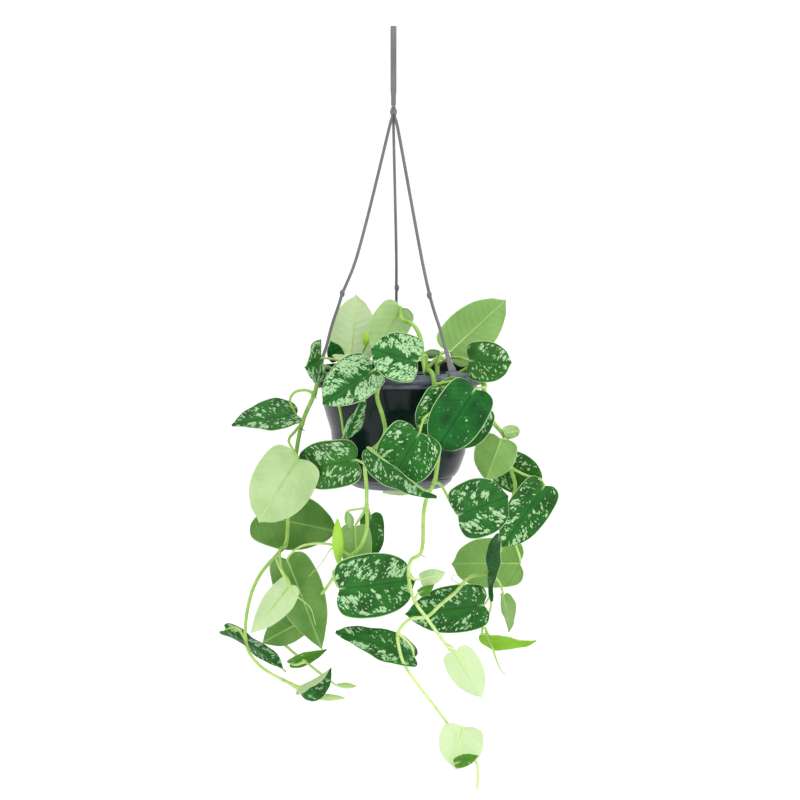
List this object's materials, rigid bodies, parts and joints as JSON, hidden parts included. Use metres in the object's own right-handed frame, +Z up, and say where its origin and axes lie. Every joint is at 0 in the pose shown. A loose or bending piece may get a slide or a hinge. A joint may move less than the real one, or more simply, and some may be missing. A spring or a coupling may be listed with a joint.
{
  "type": "satin pothos in a hanging pot",
  "caption": "Trailing satin pothos with silver-splashed heart-shaped leaves in a filled plastic hanging pot, with a clip-on saucer and a hanger of thin strands under a flat hook.",
  "frame": {"origin": "highest point of the hook's inner curve, where a rod or a ceiling hook carries the pot", "axes": "+Z up along the line the pot hangs on, the plant's front towards -Y, +X to its right as seen from the front"},
  "size_m": [0.2944, 0.2192, 0.6564],
  "materials": {
    "pot_plastic": "slate-coloured moulded plastic with a soft gloss",
    "saucer_plastic": "grey moulded plastic with a soft gloss",
    "hanger_plastic": "grey flexible moulded plastic",
    "potting_mix": "dark damp peat and bark",
    "satin_leaf": "matte satin green with silver splashes, paler underside"
  },
  "bodies": {
    "root": {"pot": "pot_plastic", "saucer": "saucer_plastic", "soil": "potting_mix", "hanger_hook": "hanger_plastic", "strand_left": "hanger_plastic", "strand_right": "hanger_plastic", "strand_rear": "hanger_plastic", "crown_left": "satin_leaf", "crown_right": "satin_leaf", "vine_left": "satin_leaf", "vine_left_front": "satin_leaf", "vine_front_left": "satin_leaf", "vine_front_right": "satin_leaf", "vine_right": "satin_leaf", "vine_back_right": "satin_leaf", "vine_back_left": "satin_leaf"}
  },
  "joints": []
}
